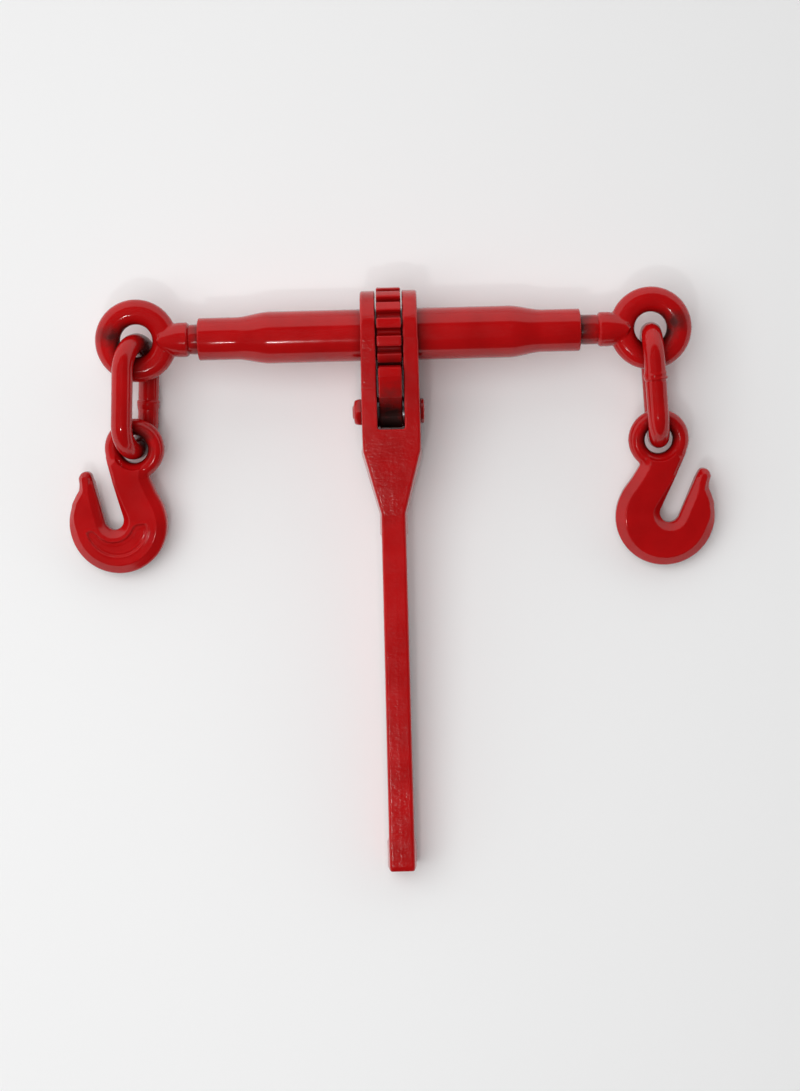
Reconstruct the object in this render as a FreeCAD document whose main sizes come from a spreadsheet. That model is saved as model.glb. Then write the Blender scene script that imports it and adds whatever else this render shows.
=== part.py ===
import FreeCAD, Part
import math
import os
import re

import Sketcher
from FreeCAD import Placement, Rotation, Vector

# Ratchet load binder: a two-part barrel with a ratchet gear, a forked handle that turns on it,
# a double pawl with a sprung detent, and at each end an eye bolt, a chain link and a grab hook.
# It lies flat: X runs along the barrel, the handle points towards -Y, and Z is up.
# The origin is under the middle of the whole piece, on the surface that it lies on.

SIZES = {
    # where the barrel's middle is
    "axis_forward": 157.3,
    "axis_height": 30.0,
    # barrel: two swaged tubes pressed into the gear from each side
    "barrel_half": 121.5,
    "barrel_radius": 16.5,
    "neck_radius": 13.5,
    "neck_length": 25,
    "taper_length": 16,
    "taper_rounding": 80,
    "barrel_bore": 12.5,
    "thread_bore": 9.58,
    "thread_depth": 28,
    "spigot_radius": 15,
    "spigot_gap": 0.1,
    # ratchet gear
    "gear_half": 7.7,
    "gear_tip": 30,
    "gear_root": 25.3,
    "gear_teeth": 16,
    "gap_half_outer": 2.75,
    "gap_half_inner": 1.8,
    # eye bolts
    "left_eye_out": 161.3,
    "right_eye_out": 166.8,
    "eye_ring": 18.3,
    "eye_wire": 8,
    "eye_thick_half": 7,
    "eye_land": 0.6,
    "collar_radius": 11,
    "collar_end": 34.2,
    "collar_chamfer": 1.5,
    "shank_radius": 9.5,
    "shank_length": 115,
    "thread_pitch": 4.233,
    "pin_from_end": 5,
    "pin_radius": 2.5,
    "pin_bore": 1.4,
    "pin_half": 11,
    "pin_slit": 0.8,
    "washer_bore": 9.58,
    "washer_radius": 12.2,
    "washer_thick": 2.5,
    # handle, measured from the barrel's axis
    "handle_droop": 2.92,
    "handle_reach": 345,
    "ear_radius": 28,
    "ear_half": 18,
    "cheek_half": 18.5,
    "journal_radius": 16.58,
    "slot_half": 8.6,
    "slot_depth": 60.5,
    "cheek_depth": 19.5,
    "cheek_end": 76.6,
    "taper_end": 115,
    "bar_half": 7.9,
    "bar_half_tip": 8.5,
    "bar_depth": 12.5,
    "web_half": 5.5,
    "web_depth": 7.5,
    "web_start": 128,
    "web_end": 325,
    "edge_round": 1.5,
    # pawl and its bolt
    "pin_drop": 49,
    "pawl_rock": 7.1,
    "pawl_half": 7.35,
    "pawl_hub": 10.3,
    "horn_angle": 45,
    "horn_end": 26.5,
    "horn_tip_half": 1.25,
    "horn_thick": 6,
    "tooth_inner_base": 6.5,
    "tooth_inner_rise": 5.1,
    "tooth_inner_side": 2.5,
    "tooth_outer_rise": 4.3,
    "tooth_outer_side": 2.2,
    "shoulder_rise": 4.1,
    "shoulder_side": 4.3,
    "shoulder_back": 5.4,
    "shoulder_back_side": 3.7,
    "arm_rise": 8.7,
    "arm_side": 0.8,
    "arm_back": 13,
    "heel_rise": 16,
    "heel_side": 11,
    "bolt_radius": 5,
    "bolt_hole": 5.06,
    "bolt_head_radius": 8.1,
    "bolt_head_thick": 2.8,
    "bolt_stub": 0.8,
    "nut_flat": 8.2,
    "nut_thick": 5.2,
    "spacer_radius": 9.6,
    "spacer_thick": 1.1,
    # detent in the handle
    "plunger_radius": 3.9,
    "plunger_bore": 3.98,
    "plunger_length": 12,
    "plunger_clear": 0.35,
    "plunger_dome": 2.2,
    "spring_radius": 2.9,
    "spring_wire": 0.45,
    "spring_length": 14,
    "spring_turns": 7,
    # links
    "link_wire": 6.75,
    "link_bend": 17.25,
    "link_straight": 33,
    "weld_radius": 7.5,
    "weld_half": 3,
    "left_link_in_eye": 1.8,
    "right_link_in_eye": 2.8,
    "left_link_in_hook": -0.3,
    "right_link_in_hook": 0.9,
    # grab hooks
    "hook_half": 7,
    "hook_ring": 14.05,
    "hook_ring_wide": 5.45,
    "hook_ring_half": 5.8,
    "hook_eye_outer": 19.5,
    "hook_notch_x": 13.2,
    "hook_notch_y": -15.6,
    "back_angle": 35.5,
    "hook_reach": 50.2,
    "hook_bowl": 32.1,
    "bowl_rim": 26,
    "bowl_rim_half": 3,
    "throat_half": 6.15,
    "throat_angle": 28,
    "throat_x": -3.1,
    "throat_y": -48.2,
    "tip_x": -26.6,
    "tip_y": -26.3,
    "tip_radius": 4.5,
    # how the end groups lie
    "left_tilt": 7.9,
    "right_tilt": 6.4,
    "left_link_lean": -3.4,
    "right_link_lean": 3.6,
    "left_link_twist": -22,
    "right_link_twist": -4,
    "left_hook_droop": 2.0,
    "right_hook_droop": 4.95,
    "left_hook_twist": -6,
    "right_hook_twist": 0,
    "left_hook_lean": -14.6,
    "right_hook_lean": 4.9,
}

doc = FreeCAD.newDocument("LoadBinder")
X_AXIS = Vector(1, 0, 0)
Y_AXIS = Vector(0, 1, 0)
Z_AXIS = Vector(0, 0, 1)
SUB_PARTS = []


def make_sheet():
    """The sheet of driving dimensions, one alias a row."""
    sheet = doc.addObject("Spreadsheet::Sheet", "Sizes")
    for row, (name, value) in enumerate(SIZES.items(), start=1):
        sheet.set(f"A{row}", name)
        sheet.set(f"B{row}", str(value))
        sheet.setAlias(f"B{row}", name)
    doc.recompute()
    return sheet


sheet = make_sheet()


def named(text):
    """An expression on the sheet, from one that uses its bare names."""
    def full(match):
        word = match.group()
        return f"Sizes.{word}" if word in SIZES else word
    return re.sub(r"[a-z_]{4,}", full, str(text))


def value(text):
    """What an expression on the sheet comes to."""
    return float(sheet.evalExpression(named(text)))


def bind(item, **sizes):
    """Ties properties of an object to expressions on the sheet."""
    for key, text in sizes.items():
        item.setExpression(key, named(text))


def keep(item, label, place=None):
    """Names a finished sub-part and puts it in its place."""
    item.Label = label
    item.Placement = place or Placement()
    SUB_PARTS.append(item)
    return item


def new_body(name):
    return doc.addObject("PartDesign::Body", f"{name}_body")


def new_sketch(body, name, role):
    """A sketch on one of its body's own origin planes."""
    sketch = body.newObject("Sketcher::SketchObject", name)
    plane = [f for f in body.Origin.OriginFeatures if f.Role == role][0]
    sketch.AttachmentSupport = [(plane, "")]
    sketch.MapMode = "FlatFace"
    return sketch


def tie(sketch, item, point, x, y):
    """Holds a point of a sketch at two expressions."""
    for kind, axis, text in (("DistanceX", -2, x), ("DistanceY", -1, y)):
        if abs(value(text)) < 1e-9:
            sketch.addConstraint(Sketcher.Constraint("PointOnObject", item, point, axis))
            continue
        number = sketch.addConstraint(Sketcher.Constraint(kind, -1, 1, item, point, value(text)))
        sketch.setExpression(f"Constraints[{number}]", named(text))


def outline(sketch, corners, arcs=None):
    """A closed outline through the corners. arcs holds the signed radius of each edge that is an
    arc, by the number of the corner that it starts at: positive bulges to the right of the way."""
    arcs = arcs or {}
    points = [Vector(value(x), value(y), 0) for x, y in corners]
    ends = []
    for i, start in enumerate(points):
        stop = points[(i + 1) % len(points)]
        if i not in arcs:
            ends.append((sketch.addGeometry(Part.LineSegment(start, stop)), 1, 2))
            continue
        radius = value(arcs[i])
        chord = stop - start
        side = Vector(-chord.y, chord.x, 0).normalize() * math.copysign(1, radius)
        centre = (start + stop) / 2 + side * math.sqrt(radius ** 2 - (chord.Length / 2) ** 2)
        turns = [math.atan2(p.y - centre.y, p.x - centre.x) for p in (start, stop)]
        circle = Part.Circle(centre, Z_AXIS, abs(radius))
        if radius > 0:
            ends.append((sketch.addGeometry(Part.ArcOfCircle(circle, turns[0], turns[1])), 1, 2))
        else:
            ends.append((sketch.addGeometry(Part.ArcOfCircle(circle, turns[1], turns[0])), 2, 1))
        number = sketch.addConstraint(Sketcher.Constraint("Radius", ends[-1][0], abs(radius)))
        sketch.setExpression(f"Constraints[{number}]", named(f"abs({arcs[i]})"))
    for i, (item, first, last) in enumerate(ends):
        after, start, _ = ends[(i + 1) % len(ends)]
        sketch.addConstraint(Sketcher.Constraint("Coincident", item, last, after, start))
        tie(sketch, item, first, *corners[i])
    return sketch


def circle(sketch, x, y, radius):
    """A circle whose centre and radius are expressions."""
    centre = Vector(value(x), value(y), 0)
    item = sketch.addGeometry(Part.Circle(centre, Z_AXIS, value(radius)))
    tie(sketch, item, 3, x, y)
    number = sketch.addConstraint(Sketcher.Constraint("Radius", item, value(radius)))
    sketch.setExpression(f"Constraints[{number}]", named(radius))
    return sketch


def pad(body, sketch, length):
    """A pad that is symmetric about its sketch; length is its whole thickness."""
    feature = body.newObject("PartDesign::Pad", f"{sketch.Name}_pad")
    feature.Profile = sketch
    feature.SideType = "Symmetric"
    bind(feature, Length=length)
    return feature


def pocket(body, sketch, length):
    """A pocket that is symmetric about its sketch; length is its whole depth."""
    feature = body.newObject("PartDesign::Pocket", f"{sketch.Name}_pocket")
    feature.Profile = sketch
    feature.SideType = "Symmetric"
    bind(feature, Length=length)
    return feature


def revolve(body, sketch, axis="H_Axis"):
    feature = body.newObject("PartDesign::Revolution", f"{sketch.Name}_turned")
    feature.Profile = sketch
    feature.ReferenceAxis = (sketch, [axis])
    feature.Angle = 360
    return feature


def soften(body, feature, radius, wanted, kind="Fillet"):
    """Rounds or chamfers the edges of a feature that a test picks out."""
    doc.recompute()
    edges = [f"Edge{i}" for i, e in enumerate(feature.Shape.Edges, start=1) if wanted(e)]
    softened = body.newObject(f"PartDesign::{kind}", f"{feature.Name}_{kind.lower()}")
    softened.Base = (feature, edges)
    bind(softened, **{"Radius" if kind == "Fillet" else "Size": radius})
    return softened


def ring_at(x, radius):
    """A test for the circular edge about the X axis at a given place."""
    def wanted(edge):
        curve = edge.Curve
        if not isinstance(curve, Part.Circle):
            return False
        return abs(curve.Center.x - value(x)) < 0.01 and abs(curve.Radius - value(radius)) < 0.01
    return wanted


def turned(axis, degrees):
    return Placement(Vector(), Rotation(axis, degrees))


def moved(x=0, y=0, z=0):
    return Placement(Vector(x, y, z), Rotation())


# ---- places that several sub-parts share -------------------------------------------------------

BARREL = moved(0, value("axis_forward"), value("axis_height"))
HANDLE = BARREL * turned(X_AXIS, value("handle_droop"))


def eye_place(side):
    """The frame at an eye's centre: its XY plane is the plane of the eye and of the hook."""
    sign = -1 if side == "left" else 1
    return BARREL * moved(sign * value(f"{side}_eye_out")) * turned(X_AXIS, value(f"{side}_tilt"))


def link_place(side):
    """The link's middle, lying along its own Y axis."""
    drop = value(f"{side}_link_in_eye + link_bend + link_straight / 2")
    lean = turned(Z_AXIS, value(f"{side}_link_lean"))
    return eye_place(side) * lean * moved(y=-drop) * turned(Y_AXIS, value(f"{side}_link_twist"))


def hook_place(side):
    """The centre of the hook's own eye; the bowl is towards -Y and the tip on the outer side."""
    drop = value(f"{side}_link_in_eye + 2 * link_bend + link_straight + {side}_link_in_hook")
    lean = turned(Z_AXIS, value(f"{side}_link_lean"))
    own = turned(Z_AXIS, value(f"{side}_hook_lean - {side}_link_lean"))
    droop = turned(X_AXIS, value(f"{side}_hook_droop"))
    twist = turned(Y_AXIS, value(f"{side}_hook_twist"))
    return eye_place(side) * lean * moved(y=-drop) * droop * own * twist * facing(side)


def facing(side):
    """Both ends use the same pieces; on the right they are turned over."""
    return turned(Y_AXIS, 0 if side == "left" else 180)


# ---- barrel ------------------------------------------------------------------------------------

def make_barrel(side):
    """A swaged tube: spigot in the gear, journal and body, long S-shaped taper, threaded neck."""
    body = new_body(f"barrel_{side}")
    cone = "(barrel_bore - thread_bore)"
    sketch = outline(new_sketch(body, f"barrel_{side}_profile", "XY_Plane"), [
        ("spigot_gap", "barrel_bore"),
        ("barrel_half - thread_depth - " + cone, "barrel_bore"),
        ("barrel_half - thread_depth", "thread_bore"),
        ("barrel_half", "thread_bore"),
        ("barrel_half", "neck_radius"),
        ("barrel_half - neck_length", "neck_radius"),
        ("barrel_half - neck_length - taper_length", "barrel_radius"),
        ("gear_half", "barrel_radius"),
        ("gear_half", "spigot_radius"),
        ("spigot_gap", "spigot_radius"),
    ])
    tube = revolve(body, sketch)
    wide = ring_at("barrel_half - neck_length - taper_length", "barrel_radius")
    slim = ring_at("barrel_half - neck_length", "neck_radius")
    swage = soften(body, tube, "taper_rounding", lambda e: wide(e) or slim(e))
    soften(body, swage, "0.8 * edge_round", ring_at("barrel_half", "neck_radius"))
    return keep(body, f"barrel_{side}", BARREL * turned(Z_AXIS, 180 if side == "left" else 0))


def make_gear():
    """The ratchet gear: one round-bottomed gap, repeated. A gap faces down the handle."""
    body = new_body("ratchet_gear")
    disc = circle(new_sketch(body, "gear_disc", "YZ_Plane"), "0", "0", "gear_tip")
    blank = pad(body, disc, "2 * gear_half")
    soften(body, blank, "0.6", lambda e: isinstance(e.Curve, Part.Circle), "Chamfer")
    gap = outline(new_sketch(body, "gear_gap", "YZ_Plane"), [
        ("-gear_tip - 1", "-gap_half_outer - 0.2"),
        ("-gear_root - 1.4", "-gap_half_inner"),
        ("-gear_root - 1.4", "gap_half_inner"),
        ("-gear_tip - 1", "gap_half_outer + 0.2"),
    ], arcs={1: "1.3 * gap_half_inner"})
    cut = pocket(body, gap, "4 * gear_half")
    teeth = body.newObject("PartDesign::PolarPattern", "gear_gaps")
    teeth.Originals = [cut]
    axis = [f for f in body.Origin.OriginFeatures if f.Role == "X_Axis"][0]
    teeth.Axis = (axis, [""])
    teeth.Angle = 360
    bind(teeth, Occurrences="gear_teeth")
    body.Tip = teeth
    bore = circle(new_sketch(body, "gear_bore", "YZ_Plane"), "0", "0", "spigot_radius + 0.02")
    pocket(body, bore, "4 * gear_half")
    return keep(body, "ratchet_gear", HANDLE)


# ---- eye bolts and their stops -----------------------------------------------------------------

def make_eye_bolt(side):
    """A forged eye with a collar and a long threaded shank, cross-drilled near its end."""
    body = new_body(f"{side}_eye_bolt")
    flat = "(eye_wire - eye_thick_half)"
    inner = "(eye_thick_half - eye_land)"
    ring = outline(new_sketch(body, f"{side}_eye_section", "XZ_Plane"), [
        (f"eye_ring - eye_wire + {inner}", "-eye_thick_half"),
        (f"eye_ring + {flat}", "-eye_thick_half"),
        ("eye_ring + eye_wire", "0"),
        (f"eye_ring + {flat}", "eye_thick_half"),
        (f"eye_ring - eye_wire + {inner}", "eye_thick_half"),
        ("eye_ring - eye_wire", "eye_land"),
        ("eye_ring - eye_wire", "-eye_land"),
    ], arcs={1: "eye_thick_half", 2: "eye_thick_half", 4: inner, 6: inner})
    revolve(body, ring, "V_Axis")
    stem = outline(new_sketch(body, f"{side}_stem_profile", "XY_Plane"), [
        ("eye_ring - 1", "0"),
        ("collar_end + shank_length", "0"),
        ("collar_end + shank_length", "shank_radius - collar_chamfer"),
        ("collar_end + shank_length - collar_chamfer", "shank_radius"),
        ("collar_end", "shank_radius"),
        ("collar_end - collar_chamfer", "collar_radius"),
        ("collar_end - 9", "collar_radius"),
        ("eye_ring - 1", "eye_thick_half - 0.4"),
    ])
    revolve(body, stem)
    hole = circle(new_sketch(body, f"{side}_pin_hole", "XY_Plane"),
                  "collar_end + shank_length - pin_from_end", "0", "pin_radius + 0.02")
    pocket(body, hole, "4 * shank_radius")
    return keep(body, f"{side}_eye_bolt", eye_place(side) * facing(side))


def make_stop_washer(side):
    """The loose washer that the cross pin pushes against the neck at full extension."""
    body = new_body(f"{side}_stop_washer")
    sketch = new_sketch(body, f"{side}_washer_rings", "YZ_Plane")
    circle(sketch, "0", "0", "washer_radius")
    circle(sketch, "0", "0", "washer_bore")
    pad(body, sketch, "washer_thick")
    along = "collar_end + shank_length - pin_from_end - pin_radius - 0.1 - washer_thick / 2"
    return keep(body, f"{side}_stop_washer", eye_place(side) * facing(side) * moved(value(along)))


def make_stop_pin(side):
    """A slit spring pin across the shank."""
    tube = doc.addObject("Part::Cylinder", f"{side}_pin_tube")
    bind(tube, Radius="pin_radius", Height="2 * pin_half")
    core = doc.addObject("Part::Cylinder", f"{side}_pin_core")
    bind(core, Radius="pin_bore", Height="2 * pin_half")
    slit = doc.addObject("Part::Box", f"{side}_pin_slit")
    bind(slit, Length="2 * pin_radius", Width="pin_slit", Height="2 * pin_half")
    slit.Placement = moved(y=-value("pin_slit / 2"))
    inside = doc.addObject("Part::MultiFuse", f"{side}_pin_inside")
    inside.Shapes = [core, slit]
    pin = doc.addObject("Part::Cut", f"{side}_pin")
    pin.Base = tube
    pin.Tool = inside
    along = value("collar_end + shank_length - pin_from_end")
    place = eye_place(side) * facing(side) * moved(along, 0, -value("pin_half"))
    return keep(pin, f"{side}_stop_pin", place)


# ---- handle ------------------------------------------------------------------------------------

def make_handle():
    """A forged lever: two ears on the barrel, a slot for gear and pawl, a tapering I-section bar."""
    body = new_body("handle")
    disc = circle(new_sketch(body, "handle_ears", "YZ_Plane"), "0", "0", "ear_radius")
    ears = pad(body, disc, "2 * ear_half")
    soften(body, ears, "edge_round", lambda e: isinstance(e.Curve, Part.Circle))
    side = outline(new_sketch(body, "handle_side", "YZ_Plane"), [
        ("-0.43 * ear_radius", "0.902 * ear_radius"),
        ("-slot_depth", "cheek_depth"),
        ("-taper_end", "bar_depth"),
        ("-handle_reach + 2", "bar_depth"),
        ("-handle_reach", "bar_depth - 2"),
        ("-handle_reach", "2 - bar_depth"),
        ("-handle_reach + 2", "-bar_depth"),
        ("-taper_end", "-bar_depth"),
        ("-slot_depth", "-cheek_depth"),
        ("-0.43 * ear_radius", "-0.902 * ear_radius"),
    ])
    pad(body, side, "2 * cheek_half")
    for sign, name in (("", "right"), ("-", "left")):
        waste = outline(new_sketch(body, f"handle_{name}_waste", "XY_Plane"), [
            (f"{sign}ear_half", "-0.43 * ear_radius"),
            (f"{sign}cheek_half", "-pin_drop"),
            (f"{sign}cheek_half", "-cheek_end"),
            (f"{sign}bar_half", "-taper_end"),
            (f"{sign}bar_half_tip", "-handle_reach - 5"),
            (f"{sign}(cheek_half + 5)", "-handle_reach - 5"),
            (f"{sign}(cheek_half + 5)", "-0.43 * ear_radius"),
        ])
        pocket(body, waste, "4 * ear_radius")
    slot = outline(new_sketch(body, "handle_slot", "XY_Plane"), [
        ("-slot_half", "ear_radius + 5"),
        ("-slot_half", "-slot_depth"),
        ("slot_half", "-slot_depth"),
        ("slot_half", "ear_radius + 5"),
    ])
    pocket(body, slot, "4 * ear_radius")
    journal = circle(new_sketch(body, "handle_journal", "YZ_Plane"), "0", "0", "journal_radius")
    pocket(body, journal, "4 * cheek_half")
    pivot = circle(new_sketch(body, "handle_pivot", "YZ_Plane"), "-pin_drop", "0", "bolt_hole")
    pocket(body, pivot, "4 * cheek_half")
    cut_webs(body)
    cut_plunger_bore(body)
    return keep(body, "handle", HANDLE)


def cut_webs(body):
    """The shallow recess in each broad side of the bar, which leaves an I section."""
    for sign, name in ((1, "right"), (-1, "left")):
        web = body.newObject("PartDesign::SubtractiveBox", f"handle_{name}_web")
        bind(web, Length="cheek_half", Width="web_end - web_start", Height="2 * web_depth")
        x = value("web_half") if sign > 0 else -value("web_half + cheek_half")
        web.Placement = moved(x, -value("web_end"), -value("web_depth"))


def cut_plunger_bore(body):
    """The blind bore for the detent, straight down the handle from the bottom of the slot."""
    bore = body.newObject("PartDesign::SubtractiveCylinder", "handle_plunger_bore")
    bind(bore, Radius="plunger_bore", Height="plunger_length + spring_length + 2")
    bore.Placement = moved(y=-value("slot_depth - 2")) * turned(X_AXIS, 90)


# ---- pawl --------------------------------------------------------------------------------------

def horn_point(along, across, side):
    """A point of the horn, given along and across the gear gap that it drops into, as it stands
    when the pawl is rocked back to the middle. side is 1 for the upper horn, -1 for the lower."""
    y = f"(pin_drop - ({along}) * cos(horn_angle) + ({across}) * sin(horn_angle))"
    z = f"(({along}) * sin(horn_angle) + ({across}) * cos(horn_angle))"
    back = f"-pin_drop + {y} * cos(pawl_rock) - {z} * sin(pawl_rock)"
    up = f"{side} * ({y} * sin(pawl_rock) + {z} * cos(pawl_rock))"
    return back, up


def make_pawl():
    """A double pawl: a hub on the bolt and two horns, each with a tooth for the gear's gaps."""
    body = new_body("pawl")
    shape = [
        ("horn_end + tooth_inner_base", "-horn_thick"),
        ("horn_end + tooth_inner_rise", "-tooth_inner_side"),
        ("horn_end", "-horn_tip_half"),
        ("horn_end", "horn_tip_half"),
        ("horn_end + tooth_outer_rise", "tooth_outer_side"),
        ("horn_end + shoulder_rise", "shoulder_side"),
        ("horn_end + shoulder_back", "shoulder_back_side"),
        ("horn_end + arm_rise", "arm_side"),
        ("horn_end + arm_back", "-horn_thick"),
        ("horn_end + heel_rise", "-heel_side"),
    ]
    upper = [horn_point(along, across, 1) for along, across in shape]
    lower = [horn_point(along, across, -1) for along, across in reversed(shape)]
    corners = [("pawl_hub * 0.86 - pin_drop", "0")] + upper
    corners += [("-pin_drop - 0.2 * pawl_hub", "0.97 * pawl_hub")]
    corners += [("-pin_drop - 0.2 * pawl_hub", "-0.97 * pawl_hub")] + lower
    arms = outline(new_sketch(body, "pawl_arms", "YZ_Plane"), corners)
    pad(body, arms, "2 * pawl_half")
    hub = circle(new_sketch(body, "pawl_hub_disc", "YZ_Plane"), "-pin_drop", "0", "pawl_hub")
    pad(body, hub, "2 * pawl_half")
    hole = circle(new_sketch(body, "pawl_hole", "YZ_Plane"), "-pin_drop", "0", "bolt_hole")
    pocket(body, hole, "4 * pawl_half")
    return keep(body, "pawl", HANDLE)


def make_pawl_bolt():
    """The pivot bolt: flat round head on the right, plain shank, stub beyond the nut."""
    body = new_body("pawl_bolt")
    outline_sketch = outline(new_sketch(body, "bolt_profile", "XY_Plane"), [
        ("-cheek_half - nut_thick - bolt_stub", "0"),
        ("cheek_half + bolt_head_thick", "0"),
        ("cheek_half + bolt_head_thick", "bolt_head_radius - 0.6"),
        ("cheek_half + bolt_head_thick - 0.6", "bolt_head_radius"),
        ("cheek_half + 0.02", "bolt_head_radius"),
        ("cheek_half + 0.02", "bolt_radius"),
        ("-cheek_half - nut_thick - bolt_stub + 0.6", "bolt_radius"),
        ("-cheek_half - nut_thick - bolt_stub", "bolt_radius - 0.6"),
    ])
    revolve(body, outline_sketch)
    return keep(body, "pawl_bolt", HANDLE * moved(y=-value("pin_drop")))


def make_pawl_nut():
    """The lock nut on the left: a hexagon with its outer corners turned off."""
    body = new_body("pawl_nut")
    corner = "nut_flat / cos(30)"
    sketch = new_sketch(body, "nut_hexagon", "YZ_Plane")
    outline(sketch, [
        (f"{corner} * cos({60 * i})", f"{corner} * sin({60 * i})") for i in range(6)
    ])
    circle(sketch, "0", "0", "bolt_radius + 0.05")
    hexagon = pad(body, sketch, "nut_thick")
    wanted = lambda e: isinstance(e.Curve, Part.Line) and e.BoundBox.Center.x < -value("nut_thick / 3")
    soften(body, hexagon, "0.8", wanted, "Chamfer")
    across = value("cheek_half + nut_thick / 2 + 0.02")
    return keep(body, "pawl_nut", HANDLE * moved(-across, -value("pin_drop")))


def make_pawl_spacer(side):
    """A thin washer between the pawl and an ear."""
    body = new_body(f"pawl_spacer_{side}")
    sketch = new_sketch(body, f"spacer_{side}_rings", "YZ_Plane")
    circle(sketch, "0", "0", "spacer_radius")
    circle(sketch, "0", "0", "bolt_hole")
    pad(body, sketch, "spacer_thick")
    across = value("(pawl_half + slot_half) / 2") * (-1 if side == "left" else 1)
    return keep(body, f"pawl_spacer_{side}", HANDLE * moved(across, -value("pin_drop")))


def make_plunger():
    """The detent plunger, with a domed nose just clear of the pawl's hub."""
    body = new_body("detent_plunger")
    sketch = outline(new_sketch(body, "plunger_profile", "XY_Plane"), [
        ("0", "0"),
        ("plunger_length", "0"),
        ("plunger_length", "plunger_radius"),
        ("plunger_dome", "plunger_radius"),
    ], arcs={3: "-1.15 * plunger_radius"})
    revolve(body, sketch)
    nose = -value("pin_drop + pawl_hub + plunger_clear")
    return keep(body, "detent_plunger", HANDLE * moved(y=nose) * turned(Z_AXIS, -90))


def make_spring():
    """The detent spring: a round-wire helix behind the plunger."""
    helix = doc.addObject("Part::Helix", "spring_path")
    bind(helix, Pitch="spring_length / (spring_turns + 0.5)", Radius="spring_radius",
         Height="spring_length - 3 * spring_wire")
    wire = doc.addObject("Part::Circle", "spring_section")
    bind(wire, Radius="spring_wire")
    wire.Placement = Placement(Vector(value("spring_radius"), 0, 0), Rotation(X_AXIS, 90))
    spring = doc.addObject("Part::Sweep", "spring_coil")
    spring.Sections = [wire]
    doc.recompute()
    spring.Spine = (helix, [f"Edge{i + 1}" for i in range(len(helix.Shape.Edges))])
    spring.Solid = True
    spring.Frenet = True
    start = -value("pin_drop + pawl_hub + plunger_clear + plunger_length + 1.6 * spring_wire")
    return keep(spring, "detent_spring", HANDLE * moved(y=start) * turned(X_AXIS, 90))


# ---- links and hooks ---------------------------------------------------------------------------

def make_link(side):
    """A welded chain link: two half rings, two straight legs and the weld's swelling."""
    body = new_body(f"{side}_link")
    stadium = new_sketch(body, f"{side}_link_path", "YZ_Plane")
    half = "link_straight / 2"
    lines = [
        (Vector(value("-" + half), value("link_bend"), 0), Vector(value(half), value("link_bend"), 0)),
        (Vector(value(half), -value("link_bend"), 0), Vector(value("-" + half), -value("link_bend"), 0)),
    ]
    top, bottom = [stadium.addGeometry(Part.LineSegment(a, b)) for a, b in lines]
    tie(stadium, top, 1, "-" + half, "link_bend")
    tie(stadium, top, 2, half, "link_bend")
    tie(stadium, bottom, 1, half, "-link_bend")
    tie(stadium, bottom, 2, "-" + half, "-link_bend")
    for sign in (1, -1):
        centre = Vector(sign * value(half), 0, 0)
        ring = Part.Circle(centre, Z_AXIS, value("link_bend"))
        turn = 0 if sign > 0 else math.pi
        bend = stadium.addGeometry(Part.ArcOfCircle(ring, turn - math.pi / 2, turn + math.pi / 2))
        first, last = (bottom, top) if sign > 0 else (top, bottom)
        stadium.addConstraint(Sketcher.Constraint("Coincident", bend, 1, first, 1))
        stadium.addConstraint(Sketcher.Constraint("Coincident", bend, 2, last, 2))
    section = circle(new_sketch(body, f"{side}_link_wire", "XZ_Plane"), "0", "link_bend", "link_wire")
    pipe = body.newObject("PartDesign::AdditivePipe", f"{side}_link_pipe")
    doc.recompute()
    pipe.Profile = section
    pipe.Spine = (stadium, [f"Edge{i + 1}" for i in range(4)])
    weld = outline(new_sketch(body, f"{side}_weld_profile", "YZ_Plane"), [
        ("-weld_half", "link_bend"),
        ("weld_half", "link_bend"),
        ("0.8 * weld_half", "link_bend + link_wire"),
        ("0.3 * weld_half", "link_bend + weld_radius"),
        ("-0.3 * weld_half", "link_bend + weld_radius"),
        ("-0.8 * weld_half", "link_bend + link_wire"),
    ])
    first, last = [Vector(value(x), value("link_bend"), 0) for x in ("-weld_half", "weld_half")]
    line = weld.addGeometry(Part.LineSegment(first, last), True)
    tie(weld, line, 1, "-weld_half", "link_bend")
    tie(weld, line, 2, "weld_half", "link_bend")
    revolve(body, weld, "Axis0")
    flip = turned(Y_AXIS, 180 if side == "left" else 0)
    return keep(body, f"{side}_link", link_place(side) * flip)


def throat_point(along, across):
    """A point of the hook, along its throat from the round bottom and across it."""
    x = f"throat_x - ({along}) * sin(throat_angle) + ({across}) * cos(throat_angle)"
    y = f"throat_y + ({along}) * cos(throat_angle) + ({across}) * sin(throat_angle)"
    return x, y


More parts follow.
